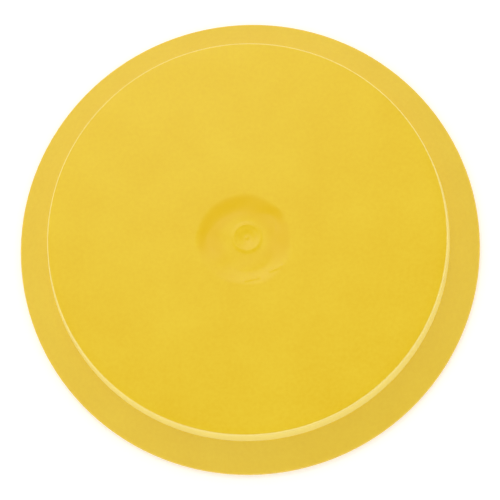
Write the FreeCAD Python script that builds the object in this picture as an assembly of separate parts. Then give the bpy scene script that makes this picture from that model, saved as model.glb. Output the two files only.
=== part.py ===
import FreeCAD, Part
import math
import os

# Running sole of an ice stock, the Alpine relative of the curling stone. Millimetres.
# +Z is the plate's axis and points out of the running face; z = 0 is the plane that the back rests on.
# A wear disc with the running face sits in a conical carrier, whose open back is ribbed. A steel bush
# in the hub takes the spindle of the stock's handle, and a steel ring brings the sole to its weight.

# Plate
plate_radius = 135.0            # the widest line, at the rim
plate_height = 30.4             # seat plane to running face
rim_height = 4.0                # height of the widest line
rim_round = 2.6
back_plane = 0.6                # ends of the ribs, behind the friction ring

# Wear disc
face_radius = 116.4             # flat face, before its edge is rounded
face_round = 1.1
foot_radius = 117.6             # where the tapered side meets the carrier's cone
foot_height = 17.1
skirt_radius = 114.3            # inside of the disc's skirt, round the carrier's deck
skirt_end = 15.3
deck_height = 22.3              # underside of the disc, top of the carrier's deck
disc_skin = 4.4
coring_rings = [(32.0, 50.0), (53.0, 71.0), (74.0, 108.0)]
hollow_radius = 27.0            # the shrink hollow, over the spigot
hollow_depth = 0.35
hollow_shoulder = 50.0          # soft rounds at the hollow's edge
gate_ring_radius = 8.6
gate_ring_height = 0.35
gate_dimple_radius = 5.4
gate_dimple_depth = 0.7

# Carrier
deck_thickness = 3.5
cone_thickness = 4.5
foot_ring_radius = 129.0        # inside of the rim's foot
hub_radius = 31.0
ring_walls = [(56.0, 58.5), (80.0, 82.5), (103.0, 105.5), (112.0, 114.5)]
rib_count = 24
rib_width = 2.4
pocket_round = 1.6

# Bush, weight and rubber
barrel_radius = 14.0
flange_radius = 27.0
flange_thickness = 4.0
flange_face = 1.2               # just behind the seat plane
thread_radius = 8.65            # wall of the M20 hole, at its minor diameter
thread_depth = 14.0             # from the flange's face to the hole's floor
thread_mouth = 1.4
ballast_radii = (59.0, 79.5)
ballast_thickness = 6.0
ballast_seat = 11.0
friction_thickness = 2.6
seal_width = 2.2

# Fasteners: circle, count
disc_screw_circle, disc_screw_count = 92.75, 8
ballast_screw_circle, ballast_screw_count = 69.25, 6
bush_screw_circle, bush_screw_count = 20.5, 6
insert_length = 6.5
washer_thickness = 1.5

# Worked out from the above
up = FreeCAD.Vector(0, 0, 1)
origin = FreeCAD.Vector(0, 0, 0)
below = back_plane - 1.0        # where cuts from the back start
deck_underside = deck_height - deck_thickness
ledge_underside = skirt_end - deck_thickness
peg_end = deck_underside + 0.2  # the disc's pegs stop just short of the washers
barrel_end = deck_underside - 0.4
flange_seat = flange_face + flange_thickness
half_step = 180.0 / rib_count   # from a rib to the middle of a pocket
cone_slope = (foot_height - rim_height) / (plate_radius - foot_radius)
seal_circle = (coring_rings[-1][1] + skirt_radius) / 2


def outline(corners):
    # Closed wire in the XZ plane through (radius, height[, round]) corners; a round is a tangent arc.
    points = [FreeCAD.Vector(corner[0], 0, corner[1]) for corner in corners]
    ends = []
    for index, corner in enumerate(corners):
        here = points[index]
        if len(corner) < 3:
            ends.append((here, None, here))
            continue
        back = (points[index - 1] - here).normalize()
        ahead = (points[(index + 1) % len(points)] - here).normalize()
        half_angle = back.getAngle(ahead) / 2
        reach = corner[2] / math.tan(half_angle)
        crown = (back + ahead).normalize() * (corner[2] / math.sin(half_angle) - corner[2])
        ends.append((here + back * reach, here + crown, here + ahead * reach))
    edges = []
    for index, (start, crown, stop) in enumerate(ends):
        if crown is not None:
            edges.append(Part.Arc(start, crown, stop).toShape())
        following = ends[(index + 1) % len(ends)][0]
        if stop.distanceToPoint(following) > 1e-6:
            edges.append(Part.LineSegment(stop, following).toShape())
    return Part.Wire(edges)


def turned(corners):
    return Part.Face(outline(corners)).revolve(origin, up, 360)


def ring(inner, outer, low, high, chamfer=0.0):
    if chamfer == 0.0:
        return turned([(inner, low), (outer, low), (outer, high), (inner, high)])
    return turned([
        (inner + chamfer, low), (outer - chamfer, low), (outer, low + chamfer), (outer, high - chamfer),
        (outer - chamfer, high), (inner + chamfer, high), (inner, high - chamfer), (inner, low + chamfer),
    ])


def post(radius, low, high):
    return Part.makeCylinder(radius, high - low, FreeCAD.Vector(0, 0, low), up)


def raised(shape, height):
    copy = shape.copy()
    copy.translate(up * height)
    return copy


def round_pattern(shape, count, circle=0.0, start=0.0):
    # Copies of a shape made on the axis, moved out to a circle and turned with it.
    copies = []
    for index in range(count):
        copy = shape.copy()
        copy.translate(FreeCAD.Vector(circle, 0, 0))
        copy.rotate(origin, up, start + index * 360.0 / count)
        copies.append(copy)
    return copies


def group(shapes):
    return Part.makeCompound(shapes)


def at_disc_screws(shape):
    return round_pattern(shape, disc_screw_count, disc_screw_circle, half_step)


def at_ballast_screws(shape):
    return round_pattern(shape, ballast_screw_count, ballast_screw_circle)


def at_bush_screws(shape):
    return round_pattern(shape, bush_screw_count, bush_screw_circle, half_step)


def running_disc():
    # Flat face, rounded edge and a tapered skirt, whose straight foot stands in the carrier's ledge.
    # The moulding gate's ring and dimple lie in the shrink hollow that the spigot behind them leaves.
    face, hollow = plate_height, plate_height - hollow_depth
    dimple = hollow - gate_dimple_depth
    disc = turned([
        (0, peg_end), (hollow_radius, peg_end), (hollow_radius, deck_height), (skirt_radius, deck_height),
        (skirt_radius, skirt_end), (foot_radius, skirt_end), (foot_radius, foot_height),
        (face_radius, face, face_round),
        (hollow_radius, face, hollow_shoulder), (hollow_radius - 4.5, hollow, hollow_shoulder),
        (gate_ring_radius + 1.2, hollow, 1.0), (gate_ring_radius, hollow + gate_ring_height, 0.6),
        (gate_dimple_radius + 1.2, hollow + gate_ring_height, 0.6), (gate_dimple_radius, hollow, 0.8),
        (gate_dimple_radius - 2.0, dimple, 1.2), (1.4, dimple), (1.0, dimple + 0.5), (0, dimple + 0.5),
    ])
    # Coring: rings of hollows between spokes, with a land left standing round each screw post.
    roof = face - disc_skin
    spokes = group(round_pattern(Part.makeBox(90, rib_width, 10, FreeCAD.Vector(26, -rib_width / 2, 18)),
                                 rib_count))
    lands = group(at_disc_screws(post(9.0, deck_height - 1, roof)))
    coring = group([ring(inner, outer, deck_height - 1, roof) for inner, outer in coring_rings])
    disc = disc.cut(coring.cut(spokes).cut(lands))
    # Screw posts, which reach through the deck, each with the seat of its insert
    disc = disc.fuse(at_disc_screws(post(5.5, peg_end, roof)))
    disc = disc.cut(group(at_disc_screws(post(3.5, peg_end - 1, peg_end + insert_length))))
    disc = disc.cut(ring(seal_circle - seal_width / 2, seal_circle + seal_width / 2, deck_height - 1,
                         deck_height + seal_width))
    return disc.removeSplitter()


def cone_inside(radius):
    # Height of the carrier's inner cone: the outer cone, moved in square to itself.
    return foot_height - cone_slope * (radius - foot_radius) - cone_thickness * math.hypot(1, cone_slope)


def rib_pocket(inner, outer, low, high):
    # One hollow between two ribs and two ring walls, with its upright corners rounded.
    half = rib_width / 2
    turn = math.radians(2 * half_step)
    corners = []
    for radius in (inner, outer):
        reach = math.sqrt(radius ** 2 - half ** 2)
        near = FreeCAD.Vector(reach, half, low)
        far = FreeCAD.Vector(reach * math.cos(turn) + half * math.sin(turn),
                             reach * math.sin(turn) - half * math.cos(turn), low)
        crown = FreeCAD.Vector(radius * math.cos(turn / 2), radius * math.sin(turn / 2), low)
        corners.append((near, crown, far))
    (near_in, crown_in, far_in), (near_out, crown_out, far_out) = corners
    wire = Part.Wire([
        Part.LineSegment(near_in, near_out).toShape(), Part.Arc(near_out, crown_out, far_out).toShape(),
        Part.LineSegment(far_out, far_in).toShape(), Part.Arc(far_in, crown_in, near_in).toShape(),
    ])
    prism = Part.Face(wire).extrude(up * (high - low))
    uprights = [edge for edge in prism.Edges
                if abs(edge.Vertexes[0].Z - edge.Vertexes[-1].Z) > (high - low) / 2]
    return prism.makeFillet(min(pocket_round, (outer - inner) / 4), uprights)


def rib_pockets():
    pockets = []
    wall_edges = [hub_radius] + [radius for wall in ring_walls for radius in wall]
    for inner, outer in zip(wall_edges[0::2], wall_edges[1::2]):
        pockets += round_pattern(rib_pocket(inner, outer, below, deck_underside), rib_count)
    # The outermost ring of pockets runs up under the cone.
    inner, outer = ring_walls[-1][1], foot_ring_radius
    meeting = outer - (ledge_underside - cone_inside(outer)) / cone_slope
    under_cone = turned([(inner - 1, below), (outer + 1, below), (outer + 1, cone_inside(outer + 1)),
                         (meeting, ledge_underside), (inner - 1, ledge_underside)])
    pocket = rib_pocket(inner, outer, below, ledge_underside).common(under_cone)
    return group(pockets + round_pattern(pocket, rib_count))


def carrier_body():
    # Rim, cone up to the disc's foot, ledge for the skirt and deck; the back is cored out into ribs.
    carrier = turned([
        (barrel_radius, back_plane), (plate_radius - 0.8, back_plane), (plate_radius, back_plane + 0.8),
        (plate_radius, rim_height, rim_round), (foot_radius, foot_height), (foot_radius, skirt_end),
        (skirt_radius, skirt_end), (skirt_radius, deck_height), (hollow_radius, deck_height),
        (hollow_radius, peg_end), (barrel_radius, peg_end),
    ])
    ballast_posts = group(at_ballast_screws(post(5.0, ballast_seat, deck_underside)))
    carrier = carrier.cut(rib_pockets().cut(ballast_posts))
    # Seats turned into the ribs: the weight's channel, the friction ring's groove, the flange's pocket
    seats = [
        ring(ring_walls[0][1], ring_walls[1][0], below, ballast_seat),
        ring(ring_walls[2][1], ring_walls[3][0], below, friction_thickness),
        post(flange_radius + 0.3, below, flange_seat),
        ring(barrel_radius - 1, barrel_radius + seal_width, below, flange_seat + seal_width),
    ]
    holes = at_disc_screws(post(5.6, deck_underside - 1, deck_height + 1))
    holes += at_ballast_screws(post(2.5, below, deck_underside + 1.7))
    holes += at_bush_screws(post(3.0, below, barrel_end - 2.5))
    return carrier.cut(group(seats)).cut(group(holes)).removeSplitter()


def threaded_bush():
    # Flange behind the hub, barrel up through it, and a blind hole that opens at the flange.
    bore_floor = flange_face + thread_depth
    bush = turned([
        (thread_radius + thread_mouth, flange_face), (flange_radius - 0.6, flange_face),
        (flange_radius, flange_face + 0.6), (flange_radius, flange_seat), (barrel_radius, flange_seat),
        (barrel_radius, barrel_end - 1.0), (barrel_radius - 1.0, barrel_end), (0, barrel_end),
        (0, bore_floor), (thread_radius, bore_floor), (thread_radius, flange_face + thread_mouth),
    ])
    return bush.cut(group(at_bush_screws(raised(screw_seat(3.0, 5.6), flange_face))))


def ballast_ring():
    low = ballast_seat - ballast_thickness
    weight = ring(*ballast_radii, low, ballast_seat, 0.6)
    return weight.cut(group(at_ballast_screws(raised(screw_seat(2.5, 4.8), low))))


def friction_ring():
    return ring(ring_walls[2][1] + 0.1, ring_walls[3][0] - 0.1, 0, friction_thickness)


def disc_seal():
    return ring(seal_circle - seal_width / 2, seal_circle + seal_width / 2, deck_height,
                deck_height + seal_width)


def bush_seal():
    return ring(barrel_radius, barrel_radius + seal_width, flange_seat, flange_seat + seal_width)


def disc_insert():
    # Brass sleeve with two gripping bands, pressed into a post of the disc.
    band, neck = 3.5, 3.1
    return turned([
        (2.5, 0), (band - 0.3, 0), (band, 0.5), (band, 2.4), (neck, 2.8), (neck, 3.7), (band, 4.1),
        (band, insert_length), (2.5, insert_length),
    ])


def washer():
    return ring(2.65, 8.0, -washer_thickness, 0)


def hexagon_socket(width, depth):
    corner = width / math.sqrt(3)
    corners = [FreeCAD.Vector(corner * math.cos(math.radians(60 * side)),
                              corner * math.sin(math.radians(60 * side)), 0) for side in range(7)]
    return Part.Face(Part.makePolygon(corners)).extrude(up * depth)


def screw_seat(radius, head_radius):
    # Countersink and clearance for a screw driven upwards from z = 0.
    rise = head_radius - radius
    return turned([(0, -0.5), (head_radius, -0.5), (head_radius, 0), (radius, rise), (radius, 12), (0, 12)])


def countersunk_screw(radius, head_radius, length, key):
    rise = head_radius - radius
    screw = turned([(0, 0), (head_radius, 0), (radius, rise), (radius, length - 0.8),
                    (radius - 0.8, length), (0, length)])
    return screw.cut(hexagon_socket(key, rise * 0.8))


def pan_screw(radius, head_radius, head_height, length, key):
    # The head hangs below z = 0 and the shank rises from it.
    screw = turned([
        (0, -head_height), (head_radius - 1.0, -head_height), (head_radius, 1.0 - head_height),
        (head_radius, 0), (radius, 0), (radius, length - 0.6), (radius - 0.6, length), (0, length),
    ])
    return screw.cut(raised(hexagon_socket(key, head_height * 0.6), -head_height))


def nodes():
    disc_screw = raised(pan_screw(2.5, 4.6, 3.3, 7.6, 4.0), deck_underside - washer_thickness)
    ballast_screw = raised(countersunk_screw(2.5, 4.8, 14.0, 3.0), ballast_seat - ballast_thickness)
    bush_screw = raised(countersunk_screw(3.0, 5.6, 14.0, 4.0), flange_face)
    return {
        "running_disc": [running_disc()],
        "carrier_body": [carrier_body()],
        "threaded_bush": [threaded_bush()],
        "ballast_ring": [ballast_ring()],
        "friction_ring": [friction_ring()],
        "disc_seal": [disc_seal()],
        "bush_seal": [bush_seal()],
        "disc_inserts": at_disc_screws(raised(disc_insert(), peg_end)),
        "disc_screws": at_disc_screws(disc_screw),
        "disc_screw_washers": at_disc_screws(raised(washer(), deck_underside)),
        "ballast_screws": at_ballast_screws(ballast_screw),
        "bush_screws": at_bush_screws(bush_screw),
    }


os.makedirs("parts", exist_ok=True)
for name, solids in nodes().items():
    shape = solids[0] if len(solids) == 1 else group(solids)
    shape.exportStep("parts/" + name + ".step")
    print(name, len(shape.Solids), "solids", round(shape.Volume / 1000, 1), "cm3", shape.isValid())
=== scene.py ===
import math
import bmesh
import bpy
import numpy as np
from mathutils import Matrix, Vector


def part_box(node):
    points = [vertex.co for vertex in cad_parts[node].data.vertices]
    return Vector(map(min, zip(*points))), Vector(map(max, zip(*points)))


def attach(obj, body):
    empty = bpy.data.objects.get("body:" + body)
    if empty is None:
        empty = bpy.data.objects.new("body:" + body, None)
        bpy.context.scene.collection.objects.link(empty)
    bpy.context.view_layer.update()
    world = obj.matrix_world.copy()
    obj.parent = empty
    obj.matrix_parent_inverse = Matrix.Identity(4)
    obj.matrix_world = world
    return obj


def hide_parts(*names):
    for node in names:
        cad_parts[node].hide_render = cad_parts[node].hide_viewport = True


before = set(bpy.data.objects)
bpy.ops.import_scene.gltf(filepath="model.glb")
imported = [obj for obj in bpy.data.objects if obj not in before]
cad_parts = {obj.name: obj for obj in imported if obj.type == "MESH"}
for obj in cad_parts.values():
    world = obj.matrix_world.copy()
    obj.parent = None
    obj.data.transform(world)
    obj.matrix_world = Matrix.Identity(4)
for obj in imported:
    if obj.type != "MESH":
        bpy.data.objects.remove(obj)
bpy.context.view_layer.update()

mm = 0.001
mergeGap = 0.001 * mm                 # corners nearer than this are one corner
sharpAngle = math.radians(28)         # edges steeper than this stay crisp
print("frame loaded:", len(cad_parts), "nodes")


def hexColour(code):
    # an sRGB hex value as linear red, green, blue and alpha
    parts = [int(code[i:i + 2], 16) / 255 for i in (1, 3, 5)]
    return [part / 12.92 if part <= 0.04045 else ((part + 0.055) / 1.055) ** 2.4
            for part in parts] + [1.0]


def addNode(tree, kind, links=None, values=None, **settings):
    # one node: settings are its properties, values go on its sockets, links join its sockets
    # to others
    node = tree.nodes.new(kind)
    for name, value in settings.items():
        setattr(node, name, value)
    for socket, value in (values or {}).items():
        node.inputs[socket].default_value = value
    for socket, source in (links or {}).items():
        tree.links.new(source, node.inputs[socket])
    return node


def newMaterial(name):
    material = bpy.data.materials.new(name)
    material.use_nodes = True
    material.node_tree.nodes.clear()
    return material, material.node_tree


def smoothStep(low, high, values):
    # 0 below low, 1 above high, and a smooth S between them
    t = np.clip((values - low) / (high - low), 0, 1)
    return t * t * (3 - 2 * t)


def ripple(angle, waves):
    # 1 plus a sum of cosines round the axis, each given by its count, share and phase
    return 1 + sum(share * np.cos(count * angle + phase) for count, share, phase in waves)


def roundGrid(radius, height, angles):
    # Points of a closed skin of revolution from a pole to a pole: rows run along the profile,
    # columns round the axis; radius and height are arrays of rows by columns, or of rows alone.
    # The first and last rows are single points on the axis.
    radius = np.broadcast_to(radius.reshape(len(radius), -1), (len(radius), len(angles)))
    height = np.broadcast_to(height.reshape(len(height), -1), (len(height), len(angles)))
    rows, columns = len(radius) - 2, len(angles)
    skin = np.stack([radius * np.cos(angles), radius * np.sin(angles), height], axis=-1)
    points = np.vstack([skin[0, :1], skin[1:-1].reshape(-1, 3), skin[-1, :1]])
    ids = 1 + np.arange(rows * columns).reshape(rows, columns)
    following = np.roll(ids, -1, axis=1)
    quads = np.stack([ids[:-1], ids[1:], following[1:], following[:-1]], axis=-1).reshape(-1, 4)
    top = np.stack([np.zeros(columns, int), ids[0], following[0]], axis=-1)
    bottom = np.stack([np.full(columns, len(points) - 1), following[-1], ids[-1]], axis=-1)
    return points, [*quads, *top, *bottom]


def newPiece(name, parts, material, body="root"):
    # one smooth-shaded mesh piece from one or more (points, faces) skins, measured in metres
    points, faces, count = [], [], 0
    for skinPoints, skinFaces in parts:
        faces += [(face + count).tolist() for face in skinFaces]
        points.append(skinPoints)
        count += len(skinPoints)
    mesh = bpy.data.meshes.new(name)
    mesh.from_pydata(np.vstack(points).tolist(), [], faces)
    mesh.polygons.foreach_set("use_smooth", np.ones(len(mesh.polygons), bool))
    mesh.materials.append(material)
    mesh.update()
    piece = bpy.data.objects.new(name, mesh)
    bpy.context.scene.collection.objects.link(piece)
    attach(piece, body)
    return piece


def mergedCopy(node):
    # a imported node's loose triangles as one connected bmesh
    copy = bmesh.new()
    copy.from_mesh(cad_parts[node].data)
    copy.transform(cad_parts[node].matrix_world)
    bmesh.ops.remove_doubles(copy, verts=copy.verts, dist=mergeGap)
    return copy


# The mottle and the mould grain are finer on the real plate; they are drawn coarse enough to show.
yellowLook = {"cloud": 30 * mm, "mottle": 2.2 * mm, "grain": 0.6 * mm, "cloudRange": (0.7, 1.3),
              "roughness": 0.33, "smoother": 0.06, "rougher": 0.08, "ior": 1.53,
              "relief": 0.12, "reliefDepth": 0.05 * mm, "edgeWobble": 0.4 * mm, "edgeFade": 0.85}
# The edge tone, its share and its fade are a painted highlight: the disc's side wall and rounded
# edge, and the carrier's rim below, are painted paler where they mirror the white room at a
# grazing angle, most at the top of the wall.
discTones = {"deep": "#EBC308", "pale": "#EFCB1C", "edgeHighlight": "#F6E58E", "hollowShadeTone": "#EABF00",
             "edge": (115.7 * mm, 116.2 * mm), "fade": (17 * mm, 30.4 * mm), "edgeHighlightShare": 0.75}
# painted shade: the carrier is the same yellow plastic as the disc, painted a little darker so its
# sloping band stays as dim as the face
carrierShadedTones = {"deep": "#E4BD06", "pale": "#E8C418", "edgeHighlight": "#F0D878",
                "edge": (134.2 * mm, 135.2 * mm), "fade": (0.0, 4 * mm), "edgeHighlightShare": 0.05}
hollowCentre = (-1.6 * mm, -1.4 * mm)
# the hollow's painted shade: where its ring of deeper tone lies, how it wobbles, and where it
# fades out at the front
hollowShadeShape = {"inside": (11 * mm, 17 * mm), "outside": (24.5 * mm, 28.5 * mm), "wobble": 4 * mm,
             "blotch": 9 * mm, "fadeFront": (-19 * mm, -5 * mm), "strength": 0.9}


def paintedHollowShade(tree, place, tint, hollowShadeTone):
    # A painted shade: a broken ring of deeper tone lies round the hollow and fades towards the
    # front, so the hollow's far side looks shaded.
    shape = hollowShadeShape
    middle = shape["wobble"] / 2
    shifted = addNode(tree, "ShaderNodeVectorMath", {0: place}, {1: (*hollowCentre, 0)},
                      operation="SUBTRACT")
    flat = addNode(tree, "ShaderNodeVectorMath", {0: shifted.outputs["Vector"]}, {1: (1, 1, 0)},
                   operation="MULTIPLY")
    reach = addNode(tree, "ShaderNodeVectorMath", {0: flat.outputs["Vector"]}, operation="LENGTH")
    blotch = addNode(tree, "ShaderNodeTexNoise", {"Vector": place},
                     {"Scale": 1 / shape["blotch"], "Detail": 3.0})
    wobble = addNode(tree, "ShaderNodeMath",
                     {0: blotch.outputs["Fac"], 2: reach.outputs["Value"]},
                     {1: shape["wobble"]}, operation="MULTIPLY_ADD")
    rise = addNode(tree, "ShaderNodeMapRange", {"Value": wobble.outputs["Value"]},
                   {"From Min": shape["inside"][0] + middle,
                    "From Max": shape["inside"][1] + middle, "To Max": shape["strength"]},
                   interpolation_type="SMOOTHSTEP")
    fall = addNode(tree, "ShaderNodeMapRange",
                   {"Value": wobble.outputs["Value"], "To Min": rise.outputs["Result"]},
                   {"From Min": shape["outside"][0] + middle,
                    "From Max": shape["outside"][1] + middle, "To Max": 0.0},
                   interpolation_type="SMOOTHSTEP")
    along = addNode(tree, "ShaderNodeSeparateXYZ", {"Vector": place})
    front = addNode(tree, "ShaderNodeMapRange",
                    {"Value": along.outputs["Y"], "To Max": fall.outputs["Result"]},
                    {"From Min": shape["fadeFront"][0], "From Max": shape["fadeFront"][1]},
                    interpolation_type="SMOOTHSTEP")
    mix = addNode(tree, "ShaderNodeMix", {"Factor": front.outputs["Result"], "A": tint},
                  {"B": hexColour(hollowShadeTone)}, data_type="RGBA")
    return mix.outputs["Result"]


def mouldedPolyamide(name, tones):
    # Polyamide 6, dyed through and injection moulded. It gives the eye a satin lemon yellow with
    # faint clouds and a fine mould grain; its edges are painted paler as a highlight.
    look = yellowLook
    material, tree = newMaterial(name)
    place = addNode(tree, "ShaderNodeTexCoord").outputs["Object"]
    cloud = addNode(tree, "ShaderNodeTexNoise", {"Vector": place},
                    {"Scale": 1 / look["cloud"], "Detail": 3.0})
    mottle = addNode(tree, "ShaderNodeTexNoise", {"Vector": place},
                     {"Scale": 1 / look["mottle"], "Detail": 4.0})
    grain = addNode(tree, "ShaderNodeTexNoise", {"Vector": place},
                    {"Scale": 1 / look["grain"], "Detail": 2.0})
    blotch = addNode(tree, "ShaderNodeMath",
                     {0: cloud.outputs["Fac"], 1: mottle.outputs["Fac"]}, operation="ADD")
    spread = addNode(tree, "ShaderNodeMapRange", {"Value": blotch.outputs["Value"]},
                     {"From Min": look["cloudRange"][0], "From Max": look["cloudRange"][1]})
    tint = addNode(tree, "ShaderNodeMix", {"Factor": spread.outputs["Result"]},
                   {"A": hexColour(tones["deep"]), "B": hexColour(tones["pale"])},
                   data_type="RGBA")
    tinted = tint.outputs["Result"]
    # only the disc gets the painted shade round its hollow
    if "hollowShadeTone" in tones:
        tinted = paintedHollowShade(tree, place, tinted, tones["hollowShadeTone"])
    # the painted edge highlight, by distance from the axis, and how it fades with height
    flat = addNode(tree, "ShaderNodeVectorMath", {0: place}, {1: (1, 1, 0)},
                   operation="MULTIPLY")
    reach = addNode(tree, "ShaderNodeVectorMath", {0: flat.outputs["Vector"]}, operation="LENGTH")
    wobble = addNode(tree, "ShaderNodeMath",
                     {0: mottle.outputs["Fac"], 2: reach.outputs["Value"]},
                     {1: look["edgeWobble"]}, operation="MULTIPLY_ADD")
    middle = look["edgeWobble"] / 2
    edge = addNode(tree, "ShaderNodeMapRange", {"Value": wobble.outputs["Value"]},
                   {"From Min": tones["edge"][0] + middle, "From Max": tones["edge"][1] + middle,
                    "To Max": tones["edgeHighlightShare"]}, interpolation_type="SMOOTHSTEP")
    upright = addNode(tree, "ShaderNodeSeparateXYZ", {"Vector": place})
    fade = addNode(tree, "ShaderNodeMapRange", {"Value": upright.outputs["Z"]},
                   {"From Min": tones["fade"][0], "From Max": tones["fade"][1],
                    "To Min": look["edgeFade"]})
    paintedEdgeHighlight = addNode(tree, "ShaderNodeMath",
                     {0: edge.outputs["Result"], 1: fade.outputs["Result"]},
                     operation="MULTIPLY")
    colour = addNode(tree, "ShaderNodeMix", {"Factor": paintedEdgeHighlight.outputs["Value"], "A": tinted},
                     {"B": hexColour(tones["edgeHighlight"])}, data_type="RGBA")
    gloss = addNode(tree, "ShaderNodeMapRange", {"Value": mottle.outputs["Fac"]},
                    {"To Min": look["roughness"] - look["smoother"],
                     "To Max": look["roughness"] + look["rougher"]})
    relief = addNode(tree, "ShaderNodeMath",
                     {0: grain.outputs["Fac"], 1: mottle.outputs["Fac"]}, operation="ADD")
    bump = addNode(tree, "ShaderNodeBump", {"Height": relief.outputs["Value"]},
                   {"Strength": look["relief"], "Distance": look["reliefDepth"]})
    shader = addNode(tree, "ShaderNodeBsdfPrincipled",
                     {"Base Color": colour.outputs["Result"], "Roughness": gloss.outputs["Result"],
                      "Normal": bump.outputs["Normal"]}, {"IOR": look["ior"]})
    addNode(tree, "ShaderNodeOutputMaterial", {"Surface": shader.outputs["BSDF"]})
    return material


workedShares = {"ringWobble": 0.6, "smoother": 0.08, "rougher": 0.10, "reliefDepth": 0.04 * mm,
                "patchRange": (0.3, 0.7)}


def workedSurface(name, look):
    # A metal or rubber finish: two tones in soft patches, lathe rings round the axis and a fine
    # grain, which both the relief and the gloss follow. Rings and grain are drawn coarse enough
    # to show.
    shares = workedShares
    material, tree = newMaterial(name)
    place = addNode(tree, "ShaderNodeTexCoord").outputs["Object"]
    patch = addNode(tree, "ShaderNodeTexNoise", {"Vector": place},
                    {"Scale": 1 / look["patch"], "Detail": 4.0})
    grain = addNode(tree, "ShaderNodeTexNoise", {"Vector": place},
                    {"Scale": 1 / look["grain"], "Detail": 3.0})
    # a wave texture's rings repeat every pi / 10 over its scale
    rings = addNode(tree, "ShaderNodeTexWave", {"Vector": place},
                    {"Scale": math.pi / 10 / look["ringStep"],
                     "Distortion": shares["ringWobble"], "Detail": 2.0},
                    wave_type="RINGS", rings_direction="Z")
    tone = addNode(tree, "ShaderNodeMapRange", {"Value": patch.outputs["Fac"]},
                   {"From Min": shares["patchRange"][0], "From Max": shares["patchRange"][1]})
    colour = addNode(tree, "ShaderNodeMix", {"Factor": tone.outputs["Result"]},
                     {"A": hexColour(look["dark"]), "B": hexColour(look["light"])},
                     data_type="RGBA")
    cut = addNode(tree, "ShaderNodeMath",
                  {0: rings.outputs["Fac"], 2: grain.outputs["Fac"]},
                  {1: look["ringShare"]}, operation="MULTIPLY_ADD")
    gloss = addNode(tree, "ShaderNodeMapRange", {"Value": cut.outputs["Value"]},
                    {"From Max": 1.0 + look["ringShare"],
                     "To Min": look["roughness"] - shares["smoother"],
                     "To Max": look["roughness"] + shares["rougher"]})
    bump = addNode(tree, "ShaderNodeBump", {"Height": cut.outputs["Value"]},
                   {"Strength": look["relief"], "Distance": shares["reliefDepth"]})
    shader = addNode(tree, "ShaderNodeBsdfPrincipled",
                     {"Base Color": colour.outputs["Result"], "Roughness": gloss.outputs["Result"],
                      "Normal": bump.outputs["Normal"]}, {"Metallic": look["metallic"]})
    addNode(tree, "ShaderNodeOutputMaterial", {"Surface": shader.outputs["BSDF"]})
    return material


print("materials")
# zinc plate over turned steel: cool grey with clouded passivation and the lathe's rings
zincLook = {"dark": "#A6ABAF", "light": "#C3C6C6", "patch": 9 * mm, "grain": 0.25 * mm,
            "ringStep": 0.35 * mm, "ringShare": 1.0, "roughness": 0.34, "relief": 0.25,
            "metallic": 1.0}
# zinc plate on pressed and rolled screws: brighter, with no lathe rings to speak of
zincScrewLook = {"dark": "#B4B7B7", "light": "#D0D0CC", "patch": 3 * mm, "grain": 0.15 * mm,
                 "ringStep": 2 * mm, "ringShare": 0.05, "roughness": 0.28, "relief": 0.15,
                 "metallic": 1.0}
# black oxide on screw steel: a near-black metal with an oily, uneven sheen
blackOxideLook = {"dark": "#1E1E20", "light": "#34343A", "patch": 2.5 * mm, "grain": 0.15 * mm,
                  "ringStep": 2 * mm, "ringShare": 0.05, "roughness": 0.42, "relief": 0.2,
                  "metallic": 1.0}
# brass turned from bar: warm yellow metal with crisp tool marks
brassLook = {"dark": "#BE9648", "light": "#D6B068", "patch": 4 * mm, "grain": 0.2 * mm,
             "ringStep": 0.3 * mm, "ringShare": 0.8, "roughness": 0.3, "relief": 0.25,
             "metallic": 1.0}
# moulded nitrile rubber: matt black with a grey bloom and a dry, fine grain
rubberLook = {"dark": "#131314", "light": "#242425", "patch": 6 * mm, "grain": 0.3 * mm,
              "ringStep": 3 * mm, "ringShare": 0.1, "roughness": 0.68, "relief": 0.35,
              "metallic": 0.0}

discYellow = mouldedPolyamide("mouldedPolyamideDisc", discTones)
# the carrier's material carries that painted shade
carrierShadedYellow = mouldedPolyamide("mouldedPolyamideCarrierShaded", carrierShadedTones)
turnedZinc = workedSurface("zincPlatedTurnedSteel", zincLook)
screwZinc = workedSurface("zincPlatedScrewSteel", zincScrewLook)
blackOxide = workedSurface("blackOxideScrewSteel", blackOxideLook)
rubber = workedSurface("mouldedNitrileRubber", rubberLook)
brass = workedSurface("turnedBrass", brassLook)
finishes = {
    "carrier_body": carrierShadedYellow, "threaded_bush": turnedZinc, "ballast_ring": turnedZinc,
    "friction_ring": rubber, "disc_seal": rubber, "bush_seal": rubber, "disc_inserts": brass,
    "disc_screws": screwZinc, "disc_screw_washers": screwZinc, "ballast_screws": blackOxide,
    "bush_screws": blackOxide,
}
for name, material in finishes.items():
    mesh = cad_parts[name].data
    mesh.materials.clear()
    mesh.materials.append(material)


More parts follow.
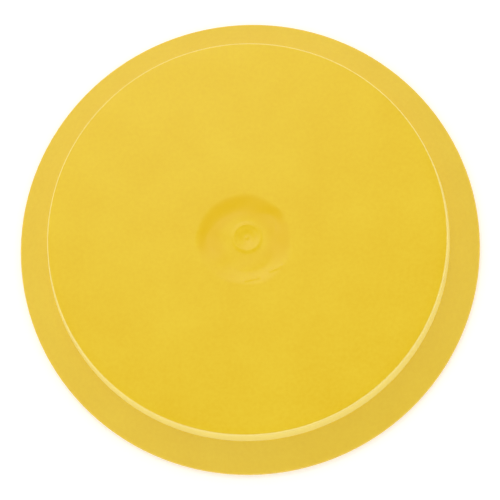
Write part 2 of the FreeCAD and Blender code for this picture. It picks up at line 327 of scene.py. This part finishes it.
discShape = {
    "edge": 116.4 * mm, "edgeRound": 1.1 * mm, "foot": (117.6 * mm, 17.1 * mm),
    "sideInside": 115 * mm, "faceSkin": 1.5 * mm, "footSlack": 0.01 * mm,
    "columns": 360, "edgeRows": 12, "sideRows": 12,
    "closeRows": (0, 32, 0.3), "wideRows": (32, 113, 3.0),        # start, end and step in mm
    # waves: count round the axis, share, phase
    "hollow": 28.1 * mm, "hollowWaves": ((2, 0.025, 0.6), (3, 0.02, 2.4), (7, 0.012, 2.0)),
    "hollowDepth": 0.72 * mm, "shoulder": 10.5 * mm,
    "shoulderWaves": ((3, 0.2, 1.0), (5, 0.12, 0.0)),
    "sink": 0.09 * mm, "sinkSteps": (5.1 * mm, 6.3 * mm, 4.4 * mm), "sinkBend": 1.2,
    "sinkPhase": 0.8,
    "gateRing": 7.6 * mm, "gateRingHeight": 0.34 * mm, "gateRingWidth": 2.3 * mm,
    "gateRingShare": (0.6, 0.6), "gateRingTurn": math.radians(95),
    "dimple": 5.8 * mm, "dimpleDepth": 0.5 * mm, "dimpleBorder": 4.0 * mm,
    "stub": 1.0 * mm, "stubBorder": 0.5 * mm, "stubShare": 0.3,
    "welts": (((-0.8, -25.6), (6.8, -24.0)), ((13.6, -20.2), (20.6, -17.2))),     # ends in mm
    "weltHeight": 0.17 * mm, "weltWidth": 1.5 * mm,
}


def faceRelief(radius, angle):
    # Height above the flat face at polar places: minus a bowl with an uneven border and a wide
    # shoulder, minus slow waves of sink inside it, plus a ridge round the gate (a bell curve of
    # the radius, lower at two sides), minus the gate's dimple, plus the stub left in it and two
    # short flow welts (bell curves of the distance to a line). Nothing stands above the face.
    shape = discShape
    x, y = radius * np.cos(angle), radius * np.sin(angle)
    bowlRadius = np.hypot(x - hollowCentre[0], y - hollowCentre[1])
    bowlAngle = np.arctan2(y - hollowCentre[1], x - hollowCentre[0])
    border = shape["hollow"] * ripple(bowlAngle, shape["hollowWaves"])
    shoulder = shape["shoulder"] * ripple(bowlAngle, shape["shoulderWaves"])
    bowl = smoothStep(0, 1, (border - bowlRadius) / shoulder)
    acrossStep, bendStep, alongStep = shape["sinkSteps"]
    sink = (np.sin(x / acrossStep + shape["sinkBend"] * np.sin(y / bendStep))
            * np.cos(y / alongStep - shape["sinkPhase"]))
    ridgeLow, ridgeRise = shape["gateRingShare"]
    ridge = np.exp(-((radius - shape["gateRing"]) / (shape["gateRingWidth"] / 2)) ** 2)
    ridge = ridge * (ridgeLow + ridgeRise * np.cos(angle - shape["gateRingTurn"]) ** 2)
    dimple = smoothStep(0, 1, (shape["dimple"] - radius) / shape["dimpleBorder"])
    stub = smoothStep(0, 1, (shape["stub"] - radius) / shape["stubBorder"])
    height = (-shape["hollowDepth"] * bowl - shape["sink"] * sink * bowl
              + shape["gateRingHeight"] * ridge - shape["dimpleDepth"] * dimple
              + shape["stubShare"] * shape["dimpleDepth"] * stub)
    for start, end in np.array(shape["welts"]) * mm:
        along = end - start
        share = ((x - start[0]) * along[0] + (y - start[1]) * along[1]) / (along @ along)
        share = np.clip(share, 0, 1)
        gap = np.hypot(x - start[0] - share * along[0], y - start[1] - share * along[1])
        height = height + shape["weltHeight"] * np.exp(-(gap / (shape["weltWidth"] / 2)) ** 2)
    return np.minimum(height, 0)


def packedBack(shape, face, footHeight):
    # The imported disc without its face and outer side: its coring, posts and seal groove, and the
    # corners of its open border in order round the axis, enough of them for the columns.
    def isOuter(place):
        outside = math.hypot(place.x, place.y) > shape["sideInside"]
        return (place.z > face - shape["faceSkin"]
                or place.z > footHeight - shape["footSlack"] and outside)

    back = mergedCopy("running_disc")
    outer = [skin for skin in back.faces if all(isOuter(corner.co) for corner in skin.verts)]
    bmesh.ops.delete(back, geom=outer, context="FACES")
    border = [edge for edge in back.edges if edge.is_boundary]
    cuts = math.ceil(shape["columns"] / len(border)) - 1
    bmesh.ops.subdivide_edges(back, edges=border, cuts=cuts)
    back.verts.index_update()
    rim = np.array([corner.co for corner in back.verts if corner.is_boundary])
    points = np.array([corner.co for corner in back.verts])
    faces = [np.array([corner.index for corner in skin.verts]) for skin in back.faces]
    back.free()
    return points, faces, rim[np.argsort(np.arctan2(rim[:, 1], rim[:, 0]))]


def runningDisc():
    # the wear disc: a new face with its hollow and a new side wall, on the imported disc's back
    shape = discShape
    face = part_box("running_disc")[1].z
    footRadius, footHeight = shape["foot"]
    backPoints, backFaces, rim = packedBack(shape, face, footHeight)
    angles, rimRadius = np.arctan2(rim[:, 1], rim[:, 0]), np.hypot(rim[:, 0], rim[:, 1])
    # the flat face: close rows in the hollow, wide ones outside it, then the rounded edge
    middle = np.concatenate([np.arange(*shape["closeRows"]), np.arange(*shape["wideRows"])]) * mm
    slope = math.atan2(face - footHeight, footRadius - shape["edge"])
    reach = shape["edgeRound"] * math.tan(slope / 2)
    turnDown = np.linspace(0, slope, shape["edgeRows"])
    edgeRadius = shape["edge"] - reach + shape["edgeRound"] * np.sin(turnDown)
    edgeHeight = face - shape["edgeRound"] * (1 - np.cos(turnDown))
    radius = np.concatenate([middle, edgeRadius])[:, None] + np.zeros(len(angles))
    height = np.concatenate([np.full(len(middle), face), edgeHeight])[:, None]
    height = height + np.zeros(len(angles))
    height[:len(middle)] += faceRelief(middle[:, None], angles[None, :])
    # the side wall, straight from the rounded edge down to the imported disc's corners, and a last
    # row on the axis that only closes the grid and is left off again
    side = np.linspace(0, 1, shape["sideRows"])[1:, None]
    sideRadius = edgeRadius[-1] + (rimRadius - edgeRadius[-1]) * side
    sideHeight = edgeHeight[-1] + (rim[:, 2] - edgeHeight[-1]) * side
    radius = np.vstack([radius, sideRadius, np.zeros(len(angles))])
    height = np.vstack([height, sideHeight, rim[:, 2]])
    points, faces = roundGrid(radius, height, angles)
    skins = [(points[:-1], faces[:-len(angles)]), (backPoints, backFaces)]
    piece = newPiece("runningDisc", skins, discYellow)
    joined = bmesh.new()
    joined.from_mesh(piece.data)
    bmesh.ops.remove_doubles(joined, verts=joined.verts, dist=2 * mergeGap)
    joined.to_mesh(piece.data)
    joined.free()
    piece.data.set_sharp_from_angle(angle=sharpAngle)
    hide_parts("running_disc")


print("wear disc")
runningDisc()


# start, end and row are along the axis; foot and flank are shares of the pitch: half the
# groove's width at its mouth, and the width of one flank
threadShape = {"minor": 8.65 * mm, "major": 10.0 * mm, "pitch": 2.5 * mm, "columns": 120,
               "start": -1.0 * mm, "end": 14.2 * mm, "row": 0.1 * mm, "clear": 0.05 * mm,
               "foot": 0.375, "flank": 0.3125}


def threadedRod(shape):
    # The rod's radius: just under the minor one, plus a trapezium of the height along the helix,
    # which a flat 1/8 pitch wide tops and flanks 5/16 pitch wide bound, and which runs out just
    # before the rod's end.
    angles = np.linspace(0, 2 * math.pi, shape["columns"], endpoint=False)
    height = np.arange(shape["end"], shape["start"], -shape["row"])
    turn = height[:, None] / shape["pitch"] - angles / (2 * math.pi)
    groove = np.clip((shape["foot"] - np.abs(turn % 1 - 0.5)) / shape["flank"], 0, 1)
    groove = groove * smoothStep(0, 1, (shape["end"] - height[:, None]) / shape["pitch"])
    core = shape["minor"] - shape["clear"]
    radius = np.pad(core + (shape["major"] - core) * groove, ((1, 1), (0, 0)))
    skin = roundGrid(radius, np.pad(height, 1, mode="edge"), angles)
    return newPiece("threadedRod", [skin], turnedZinc)


def threadedBush():
    # the bush with its M20 x 2.5 thread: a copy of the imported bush, less a threaded rod
    mesh = bpy.data.meshes.new("threadedBush")
    copy = mergedCopy("threaded_bush")
    copy.to_mesh(mesh)
    copy.free()
    if "custom_normal" in mesh.attributes:
        mesh.attributes.remove(mesh.attributes["custom_normal"])
    rod = threadedRod(threadShape)
    piece = bpy.data.objects.new("threadedBush", mesh)
    bpy.context.scene.collection.objects.link(piece)
    cut = piece.modifiers.new("thread", "BOOLEAN")
    cut.operation, cut.solver, cut.object = "DIFFERENCE", "EXACT", rod
    evaluated = piece.evaluated_get(bpy.context.evaluated_depsgraph_get())
    threaded = bpy.data.meshes.new_from_object(evaluated)
    piece.modifiers.clear()
    piece.data = threaded
    bpy.data.objects.remove(rod)
    threaded.polygons.foreach_set("use_smooth", np.ones(len(threaded.polygons), bool))
    threaded.set_sharp_from_angle(angle=sharpAngle)
    threaded.materials.clear()
    threaded.materials.append(turnedZinc)
    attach(piece, "root")
    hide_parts("threaded_bush")


print("threaded bush")
threadedBush()


print("camera")
cameraView = {"tilt": 12.5, "turn": 15.3, "distance": 2.4, "lens": 296.0, "sensor": 36,
              "target": (0.94 * mm, -4.3 * mm, 15 * mm)}
tilt, turn = math.radians(cameraView["tilt"]), math.radians(cameraView["turn"])
back = Vector((math.sin(tilt) * math.sin(turn), -math.sin(tilt) * math.cos(turn),
               math.cos(tilt)))
side = Vector((0, 1, 0)).cross(back).normalized()
eye = Vector(cameraView["target"]) + back * cameraView["distance"]
facing = Matrix((side, back.cross(side), back)).transposed().to_4x4()
camera = bpy.data.objects.new("camera", bpy.data.cameras.new("camera"))
camera.data.lens = cameraView["lens"]
camera.data.sensor_width = cameraView["sensor"]
camera.matrix_world = Matrix.Translation(eye) @ facing
bpy.context.scene.collection.objects.link(camera)
bpy.context.scene.camera = camera


print("floor and light")
studio = {
    "floorHalf": 4.0, "floorDrop": 0.1 * mm,       # just clear of the friction ring
    "floorColour": "#F6F6F6", "floorRoughness": 0.8, "floorGlow": 0.26, "white": "#FFFFFF",
    # the sky's strength at the horizon, part of the way up and overhead, and the heights
    # between which it rises and falls
    "skyLow": 1.02, "skyMiddle": 1.38, "skyTop": 0.20, "riseEnd": 0.6, "fall": (0.68, 0.93),
    # one duller patch of sky: its direction, its border and the share of light left in it
    "darkSide": (0.50, -0.72, 0.48), "darkBorder": (0.78, 0.96), "darkShare": 0.85,
    "keyPlace": (-0.20, 0.56, 1.38), "keySize": 0.5, "keyPower": 2.0,
}
half, level = studio["floorHalf"], -studio["floorDrop"]
floorMesh = bpy.data.meshes.new("floor")
floorMesh.from_pydata([(-half, -half, level), (half, -half, level), (half, half, level),
                       (-half, half, level)], [], [(0, 1, 2, 3)])
floor = bpy.data.objects.new("floor", floorMesh)
bpy.context.scene.collection.objects.link(floor)
floorMaterial, tree = newMaterial("whiteTable")
shader = addNode(tree, "ShaderNodeBsdfPrincipled", {}, {
    "Base Color": hexColour(studio["floorColour"]), "Roughness": studio["floorRoughness"],
    "Emission Color": hexColour(studio["white"]), "Emission Strength": studio["floorGlow"]})
addNode(tree, "ShaderNodeOutputMaterial", {"Surface": shader.outputs["BSDF"]})
floorMesh.materials.append(floorMaterial)

world = bpy.data.worlds.new("studio")
bpy.context.scene.world = world
world.use_nodes = True
tree = world.node_tree
tree.nodes.clear()
direction = addNode(tree, "ShaderNodeTexCoord").outputs["Generated"]
height = addNode(tree, "ShaderNodeSeparateXYZ", {"Vector": direction})
rise = addNode(tree, "ShaderNodeMapRange", {"Value": height.outputs["Z"]},
               {"From Max": studio["riseEnd"], "To Min": studio["skyLow"],
                "To Max": studio["skyMiddle"]})
sky = addNode(tree, "ShaderNodeMapRange",
              {"Value": height.outputs["Z"], "To Min": rise.outputs["Result"]},
              {"From Min": studio["fall"][0], "From Max": studio["fall"][1],
               "To Max": studio["skyTop"]}, interpolation_type="SMOOTHSTEP")
toward = addNode(tree, "ShaderNodeVectorMath", {0: direction}, {1: studio["darkSide"]},
                 operation="DOT_PRODUCT")
share = addNode(tree, "ShaderNodeMapRange", {"Value": toward.outputs["Value"]},
                {"From Min": studio["darkBorder"][0], "From Max": studio["darkBorder"][1],
                 "To Min": 1.0, "To Max": studio["darkShare"]},
                interpolation_type="SMOOTHSTEP")
strength = addNode(tree, "ShaderNodeMath",
                   {0: sky.outputs["Result"], 1: share.outputs["Result"]},
                   operation="MULTIPLY")
background = addNode(tree, "ShaderNodeBackground", {"Strength": strength.outputs["Value"]},
                     {"Color": hexColour(studio["white"])})
addNode(tree, "ShaderNodeOutputWorld", {"Surface": background.outputs["Background"]})

# a soft square light above the far left side, aimed at the middle of the part
lamp = bpy.data.lights.new("keyBox", "AREA")
lamp.shape = "RECTANGLE"
lamp.size = lamp.size_y = studio["keySize"]
lamp.energy = studio["keyPower"]
keyPlace = Vector(studio["keyPlace"])
keyBox = bpy.data.objects.new("keyBox", lamp)
keyBox.matrix_world = (Matrix.Translation(keyPlace)
                       @ (-keyPlace).to_track_quat("-Z", "Y").to_matrix().to_4x4())
bpy.context.scene.collection.objects.link(keyBox)
bpy.context.scene.view_settings.view_transform = "Standard"
